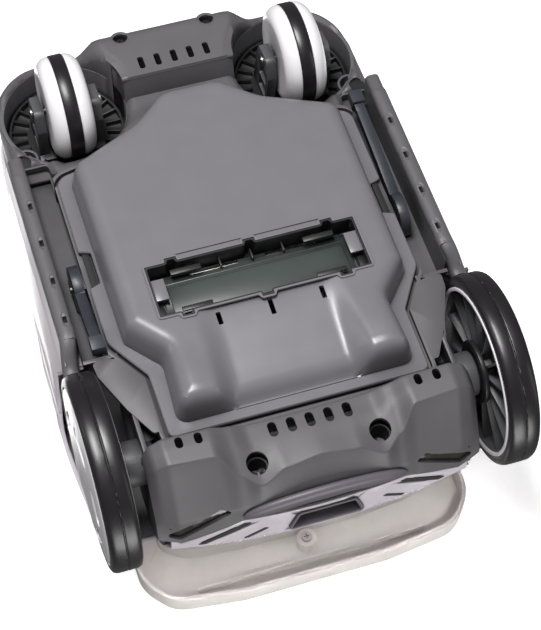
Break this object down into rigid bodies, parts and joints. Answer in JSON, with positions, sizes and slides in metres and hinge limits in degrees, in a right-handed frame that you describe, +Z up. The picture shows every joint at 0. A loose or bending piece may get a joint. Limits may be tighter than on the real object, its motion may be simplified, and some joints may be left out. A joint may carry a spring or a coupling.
{
  "type": "robotic pool cleaner",
  "caption": "Wheeled underwater pool cleaner with swivel casters, a latched bottom filter lid, a flap intake, a rear jet port and a bow carrying handle.",
  "frame": {"origin": "on the pool floor under the middle of the machine's bounding box", "axes": "+Z up in working attitude; the casters lead at -Y and the handle and jet port are at +Y; +X is the machine's right side"},
  "size_m": [0.3416, 0.463, 0.228],
  "materials": {
    "lid_grey": "satin",
    "chassis_grey": "satin, finely grained",
    "skirt_grey": "satin, finely grained",
    "shell_white": "satin gloss",
    "cover_grey": "satin",
    "handle_grey": "satin, finely grained",
    "black_plastic": "satin",
    "flap_green_grey": "satin",
    "smoked_lens": "clear, smoked",
    "steel": "machined",
    "latch_blue_grey": "satin",
    "tyre_black": "matte",
    "rim_grey": "satin",
    "wheel_white": "satin gloss",
    "motor_case": "satin",
    "bracket_grey": "satin",
    "seal_rubber": "matte",
    "filter_fabric": "fine mesh",
    "float_foam": "closed-cell foam"
  },
  "bodies": {
    "body": {"chassis": "chassis_grey", "rear_skirt": "skirt_grey", "rear_fascia": "shell_white", "jet_bezel": "black_plastic", "bumper_strip": "chassis_grey", "top_shell": "shell_white", "top_cover": "cover_grey", "handle": "handle_grey", "handle_screw": "steel", "motor_housing": "motor_case", "motor_end_cap": "black_plastic", "motor_bracket": "bracket_grey", "jet_duct": "black_plastic", "cable_gland": "black_plastic", "gland_nut": "black_plastic", "chassis_screws": "steel", "window_left": "smoked_lens", "window_right": "smoked_lens", "side_panel_left": "shell_white", "side_panel_right": "shell_white", "latch_pin_left": "steel", "latch_pin_right": "steel", "axle_left": "steel", "axle_right": "steel", "axle_housing_left": "rim_grey", "axle_housing_right": "rim_grey", "float_block_left": "float_foam", "float_block_right": "float_foam"},
    "lid": {"bottom_lid": "lid_grey", "lid_seal": "seal_rubber", "intake_frame": "chassis_grey", "flap_pin": "steel", "filter_bag": "filter_fabric"},
    "flap": {"intake_flap": "flap_green_grey"},
    "impeller_rotor": {"impeller": "black_plastic", "motor_shaft": "steel"},
    "latch_lever_left": {"latch_left": "latch_blue_grey"},
    "rear_wheel_left": {"rear_tyre_left": "tyre_black", "rear_rim_left": "rim_grey", "wheel_ring_left": "wheel_white", "hub_ring_left": "black_plastic", "wheel_cap_left": "wheel_white"},
    "caster_fork_left": {"caster_yoke_left": "rim_grey", "turntable_left": "black_plastic", "swivel_clip_left": "steel", "caster_pin_left": "steel"},
    "caster_wheel_left": {"caster_halves_left": "wheel_white", "caster_tread_left": "tyre_black"},
    "latch_lever_right": {"latch_right": "latch_blue_grey"},
    "rear_wheel_right": {"rear_tyre_right": "tyre_black", "rear_rim_right": "rim_grey", "wheel_ring_right": "wheel_white", "hub_ring_right": "black_plastic", "wheel_cap_right": "wheel_white"},
    "caster_fork_right": {"caster_yoke_right": "rim_grey", "turntable_right": "black_plastic", "swivel_clip_right": "steel", "caster_pin_right": "steel"},
    "caster_wheel_right": {"caster_halves_right": "wheel_white", "caster_tread_right": "tyre_black"}
  },
  "joints": [
    {"name": "rear_wheel_roll_left", "type": "hinge", "parent": "body", "child": "rear_wheel_left", "pos_m": [-0.153, 0.1565, 0.075], "axis": [1, 0, 0], "continuous": true},
    {"name": "caster_swivel_left", "type": "hinge", "parent": "body", "child": "caster_fork_left", "pos_m": [-0.098, -0.167, 0.1], "axis": [0, 0, 1], "continuous": true},
    {"name": "caster_roll_left", "type": "hinge", "parent": "caster_fork_left", "child": "caster_wheel_left", "pos_m": [-0.098, -0.16, 0.0425], "axis": [1, 0, 0], "continuous": true},
    {"name": "rear_wheel_roll_right", "type": "hinge", "parent": "body", "child": "rear_wheel_right", "pos_m": [0.153, 0.1565, 0.075], "axis": [1, 0, 0], "continuous": true},
    {"name": "caster_swivel_right", "type": "hinge", "parent": "body", "child": "caster_fork_right", "pos_m": [0.098, -0.167, 0.1], "axis": [0, 0, 1], "continuous": true},
    {"name": "caster_roll_right", "type": "hinge", "parent": "caster_fork_right", "child": "caster_wheel_right", "pos_m": [0.098, -0.16, 0.0425], "axis": [1, 0, 0], "continuous": true},
    {"name": "latch_turn_right", "type": "hinge", "parent": "body", "child": "latch_lever_right", "pos_m": [0.1315, 0.009, 0.062], "axis": [1, 0, 0], "range_deg": [0, 90]},
    {"name": "latch_turn_left", "type": "hinge", "parent": "body", "child": "latch_lever_left", "pos_m": [-0.1315, 0.003, 0.062], "axis": [-1, 0, 0], "range_deg": [0, 90]},
    {"name": "lid_lift_off", "type": "slide", "parent": "body", "child": "lid", "axis": [0, 0, -1], "range_m": [0, 0.12]},
    {"name": "intake_flap_swing", "type": "hinge", "parent": "lid", "child": "flap", "pos_m": [0, 0.034, 0.035], "axis": [1, 0, 0], "range_deg": [0, 55]},
    {"name": "impeller_spin", "type": "hinge", "parent": "body", "child": "impeller_rotor", "pos_m": [0, 0.139, 0.1], "axis": [0, 1, 0], "continuous": true}
  ]
}
